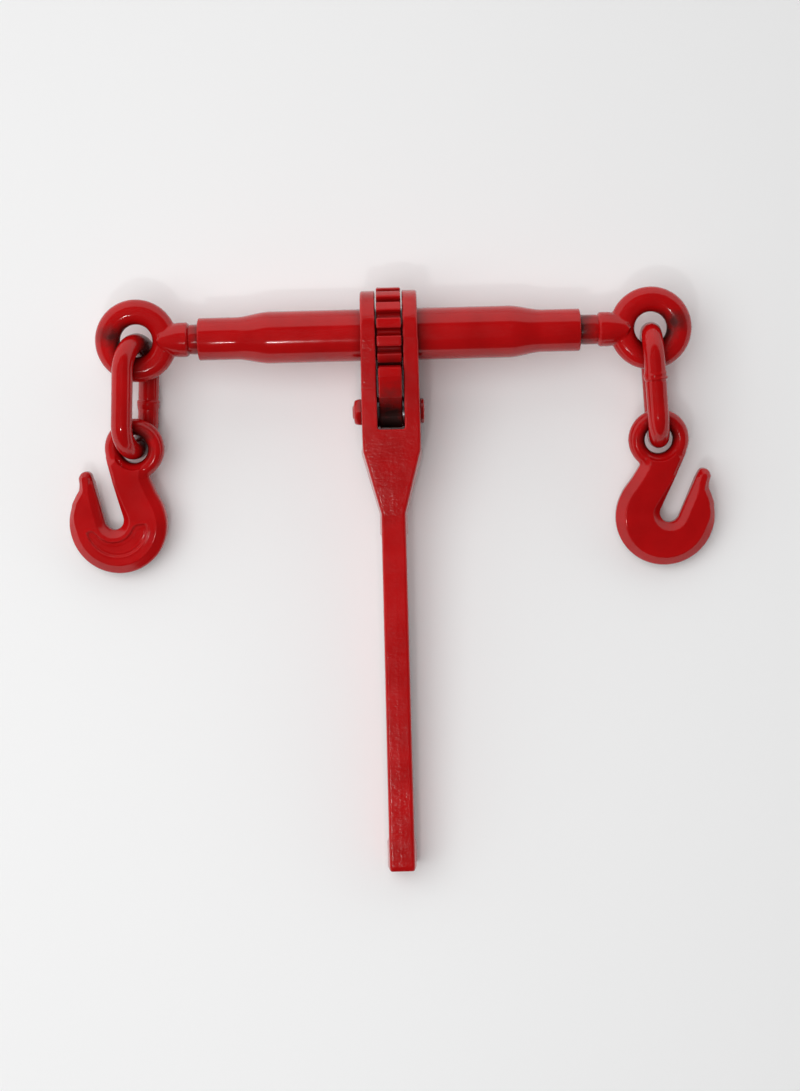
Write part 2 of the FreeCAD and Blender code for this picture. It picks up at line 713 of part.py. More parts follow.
def make_hook(side):
    """A grab hook: eye ring, straight back, round bevelled bowl, narrow slanted throat, bulbous tip."""
    body = new_body(f"{side}_hook")
    back = outline(new_sketch(body, f"{side}_hook_back", "XY_Plane"), [
        ("-0.872 * hook_eye_outer", "-0.477 * hook_eye_outer"),
        throat_point("0", "throat_half"),
        ("0", "-hook_reach - 8"),
        ("hook_bowl * cos(back_angle)", "-hook_reach + hook_bowl * sin(back_angle)"),
        ("hook_notch_x", "hook_notch_y"),
        ("0.615 * hook_eye_outer", "-0.41 * hook_eye_outer"),
        ("-0.41 * hook_eye_outer", "0.308 * hook_eye_outer"),
    ])
    pad(body, back, "2 * hook_half")
    prong = outline(new_sketch(body, f"{side}_hook_prong", "XY_Plane"), [
        ("-0.985 * hook_bowl", "-hook_reach + 0.195 * hook_bowl"),
        ("0", "-hook_reach - 8"),
        throat_point("0", "-throat_half"),
        throat_point("24", "-throat_half"),
        ("tip_x", "tip_y"),
        ("tip_x - tip_radius", "tip_y"),
        ("tip_x - 0.58 * tip_radius", "tip_y - 2.04 * tip_radius"),
    ])
    pad(body, prong, "1.86 * hook_half")
    tip = circle(new_sketch(body, f"{side}_hook_tip", "XY_Plane"), "tip_x", "tip_y", "tip_radius")
    pad(body, tip, "1.7 * hook_half")
    bowl = outline(new_sketch(body, f"{side}_hook_bowl", "XZ_Plane"), [
        ("0", "-hook_half"),
        ("bowl_rim", "-hook_half"),
        ("hook_bowl", "-bowl_rim_half"),
        ("hook_bowl", "bowl_rim_half"),
        ("bowl_rim", "hook_half"),
        ("0", "hook_half"),
    ])
    bowl.AttachmentOffset = Placement(Vector(0, 0, value("hook_reach")), Rotation())
    revolve(body, bowl, "V_Axis")
    eye = circle(new_sketch(body, f"{side}_hook_eye", "XY_Plane"), "0", "0", "hook_ring")
    pocket(body, eye, "4 * hook_half")
    add_hook_ring(body, side)
    cut_throat(body, side)
    return keep(body, f"{side}_hook", hook_place(side))


def add_hook_ring(body, side):
    """The hook's own eye: an upright oval section turned about the eye's axis."""
    half = "(hook_ring_half - hook_ring_wide)"
    section = outline(new_sketch(body, f"{side}_hook_ring_section", "XZ_Plane"), [
        ("hook_ring - hook_ring_wide", half),
        ("hook_ring - hook_ring_wide", "-" + half),
        ("hook_ring", "-hook_ring_half"),
        ("hook_ring + hook_ring_wide", "-" + half),
        ("hook_ring + hook_ring_wide", half),
        ("hook_ring", "hook_ring_half"),
    ], arcs={i: "hook_ring_wide" for i in (1, 2, 4, 5)})
    revolve(body, section, "V_Axis")


def cut_throat(body, side):
    """The narrow throat: straight walls and a round bottom, open between tip and eye."""
    path = outline(new_sketch(body, f"{side}_hook_throat", "XY_Plane"), [
        throat_point("0", "-throat_half"),
        throat_point("0", "throat_half"),
        throat_point("2 * hook_bowl", "throat_half"),
        throat_point("2 * hook_bowl", "-throat_half"),
    ])
    pocket(body, path, "4 * hook_half")
    bottom = circle(new_sketch(body, f"{side}_throat_bottom", "XY_Plane"),
                    "throat_x", "throat_y", "throat_half")
    pocket(body, bottom, "4 * hook_half")


# ---- build, check and write --------------------------------------------------------------------

def build():
    for side in ("left", "right"):
        make_barrel(side)
        make_eye_bolt(side)
        make_stop_washer(side)
        make_stop_pin(side)
        make_link(side)
        make_hook(side)
        make_pawl_spacer(side)
    make_gear()
    make_handle()
    make_pawl()
    make_pawl_bolt()
    make_pawl_nut()
    make_plunger()
    make_spring()
    doc.recompute()


def check():
    """Stops if any object failed or any sub-part isn't one closed, valid solid."""
    for item in doc.Objects:
        bad = [state for state in item.State if state in ("Invalid", "Error")]
        if bad:
            raise RuntimeError(f"{item.Label} ({item.Name}): {bad}")
    for item in SUB_PARTS:
        shape = item.Shape
        if shape.isNull() or not shape.isValid() or len(shape.Solids) != 1:
            raise RuntimeError(f"{item.Label}: {len(shape.Solids)} solids, valid {shape.isValid()}")


def write():
    os.makedirs("parts", exist_ok=True)
    for item in SUB_PARTS:
        item.Shape.exportStep(f"parts/{item.Label}.step")
        box = item.Shape.BoundBox
        print(f"{item.Label:22s} volume {item.Shape.Volume:9.0f}  x {box.XMin:7.1f} {box.XMax:7.1f}"
              f"  y {box.YMin:7.1f} {box.YMax:7.1f}  z {box.ZMin:6.2f} {box.ZMax:6.2f}")


build()
check()
write()
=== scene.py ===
import math

import bpy
import numpy as np
from mathutils import Matrix, Vector


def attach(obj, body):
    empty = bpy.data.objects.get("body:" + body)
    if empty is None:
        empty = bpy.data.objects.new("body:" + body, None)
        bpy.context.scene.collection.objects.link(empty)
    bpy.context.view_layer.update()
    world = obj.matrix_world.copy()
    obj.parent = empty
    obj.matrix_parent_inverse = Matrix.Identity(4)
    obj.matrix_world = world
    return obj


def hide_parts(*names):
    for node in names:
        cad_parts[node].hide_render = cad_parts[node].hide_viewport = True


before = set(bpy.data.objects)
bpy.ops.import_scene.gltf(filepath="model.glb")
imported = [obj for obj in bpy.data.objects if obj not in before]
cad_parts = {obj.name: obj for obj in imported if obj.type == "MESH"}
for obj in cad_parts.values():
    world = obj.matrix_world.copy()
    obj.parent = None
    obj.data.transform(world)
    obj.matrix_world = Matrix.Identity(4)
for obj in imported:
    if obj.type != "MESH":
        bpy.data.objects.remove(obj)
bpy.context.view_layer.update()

# Ratchet load binder: red enamel over forged and swaged steel. Shapes are given in millimetres in
# the same local frames as the solids that they stand for, and mesh_object() turns them to metres.

# ---- places ------------------------------------------------------------------------------------

AXIS = Vector((0, 157.3, 30.0))
EYE_OUT = {"left": -161.3, "right": 166.8}
TILT = {"left": 7.9, "right": 6.4}
LINK_LEAN = {"left": -3.4, "right": 3.6}
LINK_TWIST = {"left": -22, "right": -4}
LINK_IN_EYE = {"left": 1.8, "right": 2.8}
LINK_IN_HOOK = {"left": -0.3, "right": 0.9}
HOOK_DROOP = {"left": 2.0, "right": 4.95}
HOOK_LEAN = {"left": -14.6, "right": 4.9}
HOOK_TWIST = {"left": -6, "right": 0}
LINK_BEND = 17.25
LINK_STRAIGHT = 33.0
LINK_WIRE = 6.7
PIN_DROP = 49.0
HANDLE_TILT = 2.92


def turn(axis, degrees):
    return Matrix.Rotation(math.radians(degrees), 4, axis)


def shift(x=0, y=0, z=0):
    return Matrix.Translation((x, y, z))


def facing(side):
    return turn("Y", 0 if side == "left" else 180)


def eye_place(side):
    return Matrix.Translation(AXIS) @ shift(EYE_OUT[side]) @ turn("X", TILT[side])


def link_place(side):
    drop = LINK_IN_EYE[side] + LINK_BEND + LINK_STRAIGHT / 2
    return eye_place(side) @ turn("Z", LINK_LEAN[side]) @ shift(y=-drop) @ turn("Y", LINK_TWIST[side])


def hook_place(side):
    drop = LINK_IN_EYE[side] + 2 * LINK_BEND + LINK_STRAIGHT + LINK_IN_HOOK[side]
    lean = turn("Z", HOOK_LEAN[side] - LINK_LEAN[side])
    own = turn("X", HOOK_DROOP[side]) @ lean @ turn("Y", HOOK_TWIST[side])
    return eye_place(side) @ turn("Z", LINK_LEAN[side]) @ shift(y=-drop) @ own @ facing(side)


BARREL = Matrix.Translation(AXIS)
HANDLE = BARREL @ turn("X", HANDLE_TILT)


# ---- signed distances --------------------------------------------------------------------------

def smin(a, b, k):
    """Smooth union of two distances, blended over k."""
    h = np.clip(0.5 + 0.5 * (b - a) / k, 0, 1)
    return b + (a - b) * h - k * h * (1 - h)


def smax(a, b, k):
    """Smooth intersection of two distances, blended over k."""
    return -smin(-a, -b, k)


def ramp(x, low, high):
    """A smooth step from 0 at low to 1 at high."""
    t = np.clip((x - low) / (high - low), 0, 1)
    return t * t * (3 - 2 * t)


def polygon(x, y, corners):
    """Exact signed distance to a closed polygon."""
    best = np.full(x.shape, 1e9)
    inside = np.zeros(x.shape, dtype=bool)
    n = len(corners)
    for i in range(n):
        ax, ay = corners[i]
        bx, by = corners[(i + 1) % n]
        ex, ey = bx - ax, by - ay
        wx, wy = x - ax, y - ay
        t = np.clip((wx * ex + wy * ey) / (ex * ex + ey * ey), 0, 1)
        best = np.minimum(best, np.hypot(wx - ex * t, wy - ey * t))
        if by != ay:
            crosses = (ay > y) != (by > y)
            inside ^= crosses & (x < ax + (y - ay) * ex / ey)
    return np.where(inside, -best, best)


def slab(d, z, half, k):
    """A flat shape of distance d, given a half thickness and edges rounded over k."""
    return smax(d, np.abs(z) - half, k)


# ---- meshes ------------------------------------------------------------------------------------

def surface_net(field, low, high, step):
    """Vertices, quads and normals of the surface where field(x, y, z) is zero."""
    axes = [np.arange(low[i], high[i] + step, step) for i in range(3)]
    grid = np.meshgrid(*axes, indexing="ij")
    f = field(*grid)
    cells = tuple(n - 1 for n in f.shape)
    total = np.zeros(cells + (3,))
    count = np.zeros(cells)
    corner = [np.array(((i >> 2) & 1, (i >> 1) & 1, i & 1)) for i in range(8)]

    def part(c):
        return f[c[0]:c[0] + cells[0], c[1]:c[1] + cells[1], c[2]:c[2] + cells[2]]

    for i in range(8):
        for j in range(i + 1, 8):
            if np.abs(corner[i] - corner[j]).sum() != 1:
                continue
            a, b = part(corner[i]), part(corner[j])
            cut = (a < 0) != (b < 0)
            t = np.where(cut, a / np.where(cut, a - b, 1), 0)
            for k in range(3):
                total[..., k] += np.where(cut, corner[i][k] + t * (corner[j][k] - corner[i][k]), 0)
            count += cut
    active = count > 0
    number = np.full(cells, -1)
    number[active] = np.arange(active.sum())
    where = np.argwhere(active)
    points = np.array([a[0] for a in axes]) + step * (where + total[active] / count[active][:, None])
    quads = []
    for k in range(3):
        u, v = [(1, 2), (2, 0), (0, 1)][k]
        lo = [slice(1, -1)] * 3
        hi = [slice(1, -1)] * 3
        lo[k], hi[k] = slice(0, -1), slice(1, None)
        a, b = f[tuple(lo)] < 0, f[tuple(hi)] < 0
        spots = np.argwhere(a != b)
        offset = np.ones(3, dtype=int)
        offset[k] = 0
        spots_full = spots + offset
        flip = a[tuple(spots.T)]
        ring = []
        for du, dv in ((-1, -1), (0, -1), (0, 0), (-1, 0)):
            at = spots_full.copy()
            at[:, u] += du
            at[:, v] += dv
            ring.append(number[tuple(at.T)])
        ring = np.array(ring).T
        quads.append(np.where(flip[:, None], ring, ring[:, ::-1]))
    quads = np.concatenate(quads)
    for _ in range(4):
        value, normals, slope = gradient(field, points)
        move = np.clip(value / np.maximum(slope, 0.3), -0.4 * step, 0.4 * step)
        points = points - move[:, None] * normals
    _, normals, _ = gradient(field, points)
    return points, quads, normals


def gradient(field, points, h=0.03):
    """The field's value, unit gradient and slope at each point, by central differences."""
    x, y, z = points.T
    value = field(x, y, z)
    grad = np.array([
        field(x + h, y, z) - field(x - h, y, z),
        field(x, y + h, z) - field(x, y - h, z),
        field(x, y, z + h) - field(x, y, z - h),
    ]).T / (2 * h)
    slope = np.linalg.norm(grad, axis=1)
    return value, grad / np.maximum(slope, 1e-6)[:, None], slope


def mesh_object(name, points, faces, place, normals=None):
    """A smooth mesh object; points are local millimetres and place puts them in the frame."""
    matrix = np.array(place)
    world = (np.asarray(points) @ matrix[:3, :3].T + matrix[:3, 3]) / 1000
    mesh = bpy.data.meshes.new(name)
    mesh.from_pydata(world.tolist(), [], [list(map(int, f)) for f in faces])
    mesh.polygons.foreach_set("use_smooth", [True] * len(mesh.polygons))
    if normals is not None:
        turned = np.asarray(normals) @ matrix[:3, :3].T
        mesh.normals_split_custom_set_from_vertices(turned.tolist())
    mesh.validate()
    item = bpy.data.objects.new(name, mesh)
    bpy.context.scene.collection.objects.link(item)
    return item


def forged(name, field, low, high, step, place):
    """A piece meshed from a distance field between the corners low and high, in cells of step."""
    points, quads, normals = surface_net(field, low, high, step)
    return mesh_object(name, points, quads, place, normals)


def lathe(profile, rings=128):
    """Turns a profile of (x, r) about the X axis."""
    points, faces = [], []
    for x, r in profile:
        for j in range(rings):
            a = 2 * math.pi * j / rings
            points.append((x, r * math.cos(a), r * math.sin(a)))
    for i in range(len(profile) - 1):
        for j in range(rings):
            k = (j + 1) % rings
            here, there = i * rings, (i + 1) * rings
            faces.append((here + j, there + j, there + k, here + k))
    return points, faces


def rounded(corners, radius, steps=5):
    """An open profile with every inner corner rounded off."""
    out = [corners[0]]
    for before, here, after in zip(corners, corners[1:], corners[2:]):
        a = Vector(before) - Vector(here)
        b = Vector(after) - Vector(here)
        cut = min(radius, a.length * 0.45, b.length * 0.45)
        start = Vector(here) + a.normalized() * cut
        stop = Vector(here) + b.normalized() * cut
        for i in range(steps + 1):
            t = i / steps
            bend = (1 - t) ** 2 * start + 2 * t * (1 - t) * Vector(here) + t * t * stop
            out.append(tuple(bend))
    out.append(corners[-1])
    return out


# ---- barrel ------------------------------------------------------------------------------------

BARREL_RADIUS = 16.5
BARREL_BORE = 12.5
BARREL_START = 7.75
STRAIGHT_END = 60.0
SWAGE_START = 76
SWAGE_LENGTH = 22
SWAGE_DROP = 3.0
SWAGE_STEPS = 32
NECK_RADIUS = 13.5
NECK_AT = 110.0
MOUTH_AT = 121.5
LIP_ROUND = 1.1
THREAD_BORE = 9.6
THREAD_FROM = 93.5
BORE_CONE = 3.0


def barrel_profile():
    """Outside of one half from the gear to the mouth, then back along the bore."""
    outside = [(BARREL_START, BARREL_BORE), (BARREL_START, BARREL_RADIUS), (STRAIGHT_END, BARREL_RADIUS)]
    for i in range(SWAGE_STEPS + 1):
        t = i / SWAGE_STEPS
        outside.append((SWAGE_START + SWAGE_LENGTH * t, BARREL_RADIUS - SWAGE_DROP * (t * t * (3 - 2 * t))))
    outside += [(NECK_AT, NECK_RADIUS)]
    lip_at, lip_radius = MOUTH_AT - LIP_ROUND, NECK_RADIUS - LIP_ROUND
    lip = []
    for a in np.linspace(0, math.pi / 2, 7):
        lip.append((lip_at + LIP_ROUND * math.sin(a), lip_radius + LIP_ROUND * math.cos(a)))
    mouth = [(MOUTH_AT, THREAD_BORE + LIP_ROUND), (lip_at, THREAD_BORE), (THREAD_FROM, THREAD_BORE),
             (THREAD_FROM - BORE_CONE, BARREL_BORE), (BARREL_START, BARREL_BORE)]
    return outside + lip + mouth


def make_barrel(side):
    points, faces = lathe(barrel_profile(), 160)
    place = BARREL @ turn("Z", 180 if side == "left" else 0)
    item = mesh_object(f"barrel_tube_{side}", points, faces, place)
    crease(item, 28)
    return item


def crease(item, degrees):
    """Marks edges sharper than an angle, so that smooth shading stops at them."""
    item.data.set_sharp_from_angle(angle=math.radians(degrees))


# ---- ratchet gear ------------------------------------------------------------------------------

GEAR_TEETH = 16
GEAR_RADIUS = 30
GEAR_HALF = 7.7
GEAR_BORE = 12.6
GAP_BOTTOM = 27.1
GAP_HALF = 1.85
GAP_SPREAD = 0.3


def gear_field(x, y, z):
    """A disc with round-bottomed gaps that widen outward."""
    angle = np.arctan2(z, -y)
    pitch = 2 * math.pi / GEAR_TEETH
    local = angle - pitch * np.round(angle / pitch)
    radius = np.hypot(y, z)
    along, across = radius * np.cos(local), radius * np.sin(local)
    flank = np.abs(across) - (GAP_HALF + GAP_SPREAD * (along - GAP_BOTTOM))
    bottom = np.hypot(along - GAP_BOTTOM, across) - GAP_HALF
    gap = np.where(along > GAP_BOTTOM, flank, bottom)
    disc = smax(radius - GEAR_RADIUS, np.abs(x) - GEAR_HALF, 1.1)
    return smax(smax(disc, -gap, 0.9), GEAR_BORE - radius, 0.5)


# ---- eye bolts ---------------------------------------------------------------------------------

EYE_RING = 18.3
EYE_DEEP = 7
EYE_WIDE = 8
COLLAR_RADIUS = 11.0
COLLAR_END = 34.2
COLLAR_BEVEL = 1.7
NOSE_BASE = 28.0
NOSE_LENGTH = 14
NOSE_TIP = 13.4
NOSE_DROP = 3.4


def eye_field(x, y, z):
    """An oval-wired ring, and a collar whose nose runs onto it as a teardrop."""
    radius = np.hypot(x, y)
    ring = np.hypot((radius - EYE_RING) * EYE_DEEP / EYE_WIDE, z) - EYE_DEEP
    nose = np.clip((NOSE_BASE - x) / NOSE_LENGTH, 0, 1)
    neck = np.hypot(y, z) - (COLLAR_RADIUS - NOSE_DROP * nose ** 1.6)
    neck = smax(neck, (NOSE_TIP - x + 0.55 * np.abs(y)) * 0.88, 1.2)
    chamfer = (np.hypot(y, z) - COLLAR_RADIUS + (x - COLLAR_END) + COLLAR_BEVEL) * 0.707
    neck = smax(smax(neck, x - COLLAR_END, 0.5), chamfer, 0.5)
    return smin(ring, neck, 0.9)


SCREW_PITCH = 4.233
SCREW_MAJOR = 9.48
SCREW_MINOR = 7.75
SCREW_START = 42.0
SCREW_STOP = 148.6
SCREW_COLS = 96
SHANK_START = 33.6
# one pitch of the screw's section, as (part of the pitch, part of the height)
THREAD_SHAPE = [(0.0, 0.0), (0.28, 0.0), (0.40, 0.72), (0.44, 0.98), (0.50, 1.0), (0.66, 1.0),
                (0.72, 0.98), (0.76, 0.72), (0.88, 0.0), (0.94, 0.0)]
# the plain neck's rings, as (x, radius), from the collar to the screw
SHANK_NECK = [(SHANK_START, 9.3), (34.4, 9.3), (34.7, 9.45), (36.0, 9.45), (38.5, 9.46), (41.2, 9.46)]


def thread_radius(x, height):
    """The screw's radius, running out towards the neck and chamfered at its end."""
    depth = SCREW_MAJOR - SCREW_MINOR
    fade = float(ramp(np.array(x), SCREW_START + 0.3 * SCREW_PITCH, SCREW_START + 2.2 * SCREW_PITCH))
    tail = float(ramp(np.array(x), SCREW_STOP - 0.2, SCREW_STOP - 1.6))
    bottom = SCREW_MAJOR - 0.05 - (depth - 0.05) * fade
    radius = bottom + (SCREW_MAJOR - bottom) * height
    return min(radius, SCREW_MAJOR - (depth + 0.6) * (1 - tail))


def make_shank(side):
    """The plain neck and the long Acme screw, left-handed on the left."""
    cols, per = SCREW_COLS, len(THREAD_SHAPE)
    hand = 1 if side == "right" else -1
    turns = int((SCREW_STOP - SCREW_START) / SCREW_PITCH) - 1
    last = turns * per + per
    points, faces = [], []

    def add_point(x, r, j):
        a = hand * 2 * math.pi * j / cols
        points.append((x, r * math.cos(a), r * math.sin(a)))

    def add_face(face):
        faces.append(face if hand > 0 else face[::-1])

    def at(i, j):
        return (i + per) * cols if j == cols else i * cols + j

    # the screw: a row follows the helix, so its last column meets the first one a pitch further on
    for i in range(last + 1):
        along, height = THREAD_SHAPE[i % per]
        for j in range(cols):
            x = SCREW_START + SCREW_PITCH * (i // per + along + j / cols)
            add_point(x, thread_radius(x, height), j)
    for i in range(last):
        for j in range(cols):
            if j == cols - 1 and i + 1 + per > last:
                continue
            add_face((at(i, j), at(i + 1, j), at(i + 1, j + 1), at(i, j + 1)))
    # the neck: plain rings, then one row of faces to the screw's slanted first row
    base = len(points)
    for x, r in SHANK_NECK:
        for j in range(cols):
            add_point(x, r, j)
    for i in range(len(SHANK_NECK) - 1):
        here, there = base + i * cols, base + (i + 1) * cols
        for j in range(cols):
            k = (j + 1) % cols
            add_face((here + j, there + j, there + k, here + k))
    top = base + (len(SHANK_NECK) - 1) * cols
    for j in range(cols - 1):
        add_face((top + j, j, j + 1, top + j + 1))
    add_face(tuple([top + cols - 1, cols - 1] + [i * cols for i in range(per, -1, -1)] + [top]))
    # both ends are closed with a fan
    centre = len(points)
    points.append((SHANK_START, 0, 0))
    for j in range(cols):
        add_face((centre, base + j, base + (j + 1) % cols))
    centre = len(points)
    points.append((points[last * cols][0] + 0.2, 0, 0))
    end_row = [last * cols + j for j in range(cols)]
    end_step = [i * cols + cols - 1 for i in range(last - 1, last - per - 1, -1)]
    loop = end_row + end_step
    for a, b in zip(loop, loop[1:] + loop[:1]):
        add_face((centre, b, a))
    item = mesh_object(f"{side}_screw", points, faces, eye_place(side) @ facing(side))
    crease(item, 50)
    return item


# ---- handle ------------------------------------------------------------------------------------

EAR_RADIUS = 28.0
EAR_HALF = 18.0
GRIP_HALF = 12.5
HANDLE_END = 345
TAPER_AT = 115
SLOT_END = 60.5
SLOT_HALF = 8.6
BARREL_HOLE = 16.62
PIN_HOLE = 5.06
WEB_HALF = 5.5
WEB_DEEP = 7.5
WEB_FROM = 128
WEB_TO = 325
FLANK_FROM = 67
FLANK_TO = 78
FLANK_DRAFT = 0.11
FLANK_PROUD = 1.3
# half of the outline from the side, as (y, z), and half of it from above, as (x, y)
HANDLE_SIDE = [(-4.0, 27.7), (-SLOT_END, 19.5), (-TAPER_AT, GRIP_HALF), (-HANDLE_END, GRIP_HALF)]
HANDLE_PLAN = [(EAR_HALF, 0), (18.5, -49), (18.5, -74.5), (7.6, -114), (8.1, -HANDLE_END)]


def handle_field(x, y, z):
    """Two ears round the barrel, sloping shoulders, and a bar hollowed on both faces to a web."""
    ears = smax(np.hypot(y, z) - EAR_RADIUS, np.abs(x) - EAR_HALF, 1.8)
    side = polygon(y, z, HANDLE_SIDE + [(a, -b) for a, b in reversed(HANDLE_SIDE)])
    plan = polygon(x, y, HANDLE_PLAN + [(-a, b) for a, b in reversed(HANDLE_PLAN)])
    flank = ramp(-y, FLANK_FROM, FLANK_TO)
    plan = plan + FLANK_DRAFT * np.abs(z) * flank - FLANK_PROUD * flank
    tip_round = smax(side, -y - HANDLE_END, 5.0)
    bar = smax(tip_round, plan, 1.8)
    body = smin(ears, bar, 1.0)
    slot = smax(np.abs(x) - SLOT_HALF, -SLOT_END - y, 1.6)
    body = smax(body, -slot, 1.0)
    body = smax(body, BARREL_HOLE - np.hypot(y, z), 1.2)
    web = smax(WEB_HALF - np.abs(x), np.abs(z) - WEB_DEEP, 2.5)
    web = smax(web, np.maximum(-WEB_TO - y, y + WEB_FROM), 6.0)
    body = smax(body, -web, 1.6)
    return smax(body, PIN_HOLE - np.hypot(y + PIN_DROP, z), 0.5)


# ---- pawl --------------------------------------------------------------------------------------

GAP_ANGLE = 45
PAWL_ROCK = 7.1
HUB_RADIUS = 10.3
PAWL_HALF = 7.35


def horn_point(along, across, side):
    """A point of a horn, given along and across the gap of the gear that it drops into."""
    c, s = math.cos(math.radians(GAP_ANGLE)), math.sin(math.radians(GAP_ANGLE))
    y, z = PIN_DROP - along * c + across * s, along * s + across * c
    c, s = math.cos(math.radians(PAWL_ROCK)), math.sin(math.radians(PAWL_ROCK))
    return -PIN_DROP + y * c - z * s, side * (y * s + z * c)


HORN = [(33, -6), (31.6, -2.5), (26.5, -1.25), (26.5, 1.25), (30.8, 2.2), (30.6, 4.4), (32, 3.7),
        (35.3, 0.8), (39.5, -6), (42.5, -11)]
PAWL = [(-40.1, 0)] + [horn_point(a, b, 1) for a, b in HORN] + [(-51, 10), (-51, -10)]
PAWL += [horn_point(a, b, -1) for a, b in reversed(HORN)]


def pawl_field(x, y, z):
    arms = polygon(y, z, PAWL)
    hub = np.hypot(y + PIN_DROP, z) - HUB_RADIUS
    solid = slab(smin(arms, hub, 1.5), x, PAWL_HALF, 1.3)
    return smax(solid, PIN_HOLE - np.hypot(y + PIN_DROP, z), 0.4)


# ---- bolt and nut ------------------------------------------------------------------------------

HEAD_AT = 18.5
HEAD_TOP = 21.3
NUT_FLAT = 8.2
NUT_HALF = 2.6
NUT_DOME = 12.2
NUT_BORE = 5.0
NUT_OUT = 21.12


def bolt_profile():
    """A chamfered shank and a low round head."""
    shank = [(-24.5, 0.001), (-24.5, 3.6), (-23.6, 4.95), (HEAD_AT, 4.98)]
    head = [(HEAD_AT, 4.98), (HEAD_AT + 0.02, 8.0), (20.9, 7.8), (HEAD_TOP, 6.6), (HEAD_TOP, 0.001)]
    return shank + rounded(head, 0.7)


def nut_field(x, y, z):
    """A hexagon with one face domed."""
    angle = np.arctan2(z, y)
    local = (angle + math.pi / 6) % (math.pi / 3) - math.pi / 6
    radius = np.hypot(y, z)
    flats = radius * np.cos(local) - NUT_FLAT
    solid = smax(flats, np.abs(x) - NUT_HALF, 0.6)
    dome = radius - x + NUT_HALF - NUT_DOME
    solid = smax(solid, dome * 0.7, 1.4)
    return smax(solid, NUT_BORE - radius, 0.4)


# ---- links -------------------------------------------------------------------------------------

LINK_ROWS = 300
LINK_COLS = 56
WELD_OFFSET = {"left": -5.5, "right": -6.4}


def link_line(s):
    """Centre and direction of the link's wire, as (y, z) pairs, at s along its middle line."""
    half, leg, arc = LINK_STRAIGHT / 2, LINK_STRAIGHT, math.pi * LINK_BEND
    if s < leg:
        return (half - s, LINK_BEND), (-1, 0)
    if s < leg + arc:
        a = math.pi / 2 + (s - leg) / LINK_BEND
        centre = (-half + LINK_BEND * math.cos(a), LINK_BEND * math.sin(a))
        return centre, (-math.sin(a), math.cos(a))
    if s < 2 * leg + arc:
        return (-half + (s - leg - arc), -LINK_BEND), (1, 0)
    a = -math.pi / 2 + (s - 2 * leg - arc) / LINK_BEND
    centre = (half + LINK_BEND * math.cos(a), LINK_BEND * math.sin(a))
    return centre, (-math.sin(a), math.cos(a))


def make_link(side):
    """A welded link: a tube along two legs and two bends, with the weld's ragged swelling."""
    leg, arc = LINK_STRAIGHT, math.pi * LINK_BEND
    length = 2 * leg + 2 * arc
    rows, cols = LINK_ROWS, LINK_COLS
    rng = np.random.default_rng(7 if side == "left" else 11)
    waves = [(rng.uniform(0.4, 2.2), rng.integers(1, 6), rng.uniform(0, 6.28)) for _ in range(10)]
    weld_leg = leg + arc if side == "left" else 0
    weld_at = weld_leg + leg / 2 + WELD_OFFSET[side]
    points = []
    for i in range(rows):
        s = length * i / rows
        centre, along = link_line(s)
        out = (along[1], -along[0])
        d = s - weld_at
        swell = math.exp(-(d / 2.6) ** 2)
        near = math.exp(-(d / 5.0) ** 2)
        for j in range(cols):
            t = 2 * math.pi * j / cols
            c, q = math.cos(t), math.sin(t)
            rough = sum(math.sin(w * d + n * t + p) for w, n, p in waves) / 10
            inner = 0.5 - 0.5 * c
            r = LINK_WIRE + swell * (0.35 + 0.75 * inner + 0.5 * rough) + near * 0.16 * rough
            # a groove and a ridge beside the weld
            r -= 0.55 * math.exp(-((d - 3.0) / 0.6) ** 2) * (0.5 + 0.5 * inner)
            r += 0.35 * math.exp(-((d - 1.6) / 0.8) ** 2)
            points.append((r * q, centre[0] + out[0] * r * c, centre[1] + out[1] * r * c))
    faces = []
    for i in range(rows):
        k = (i + 1) % rows
        for j in range(cols):
            m = (j + 1) % cols
            faces.append((i * cols + j, i * cols + m, k * cols + m, k * cols + j))
    return mesh_object(f"{side}_chain_link", points, faces, link_place(side))


# ---- grab hooks --------------------------------------------------------------------------------

THROAT = (-3.1, -48.2)
THROAT_TURN = math.radians(28)
THROAT_HALF = 6.3
BOWL = (0.0, -50.2)
BOWL_RADIUS = 32.1
HOOK_RING = 14.05
RING_WIRE = 5.75
RING_SQUEEZE = 5.4
RING_BORE = 8.45
PLATE_BORE = 13.4
PLATE_HALF = 6.9
EDGE_HALF = 2.6
PRONG_TIP = (-26.6, -26.3)
TIP_RADIUS = 4.5
HOOK_BACK = [(-18.3, -13.2), (0.0, -47.7), (0, -56), (20, -52), (25.6, -31.9), (13.4, -15.4),
             (12.0, -8.0), (-8.0, 3.0)]
HOOK_PRONG = [(-31.2, -45), (-14, -60), (-8.7, -51), (-22.6, -24.7), (-26.6, -24), (-31.0, -27.0),
              (-29.2, -35.4)]
PANEL_OUTER = 20.3
PANEL_INNER = 14.0
PANEL_CUT = (-0.367, 0.93, 53.0)


def throat_frame(x, y):
    """Along and across the throat, from its round bottom."""
    c, s = math.cos(THROAT_TURN), math.sin(THROAT_TURN)
    dx, dy = x - THROAT[0], y - THROAT[1]
    return -dx * s + dy * c, dx * c + dy * s


def panel_relief(x, y):
    """A sunk crescent with a raised rim, between the bowl's edge and the throat."""
    from_bowl = np.hypot(x - BOWL[0], y - BOWL[1])
    from_throat = np.hypot(x - THROAT[0], y - THROAT[1])
    cut_x, cut_y, cut_at = PANEL_CUT
    crescent = smax(from_bowl - PANEL_OUTER, PANEL_INNER - from_throat, 2.5)
    crescent = smax(crescent, (x * cut_x + (y + cut_at) * cut_y) - 1.0, 3.0)
    relief = 0.30 * np.exp(-((crescent - 0.8) / 0.7) ** 2) - 0.95 * ramp(-crescent, -0.4, 0.7)
    return relief + 0.25 * np.exp(-((crescent + 2.0) / 0.6) ** 2)


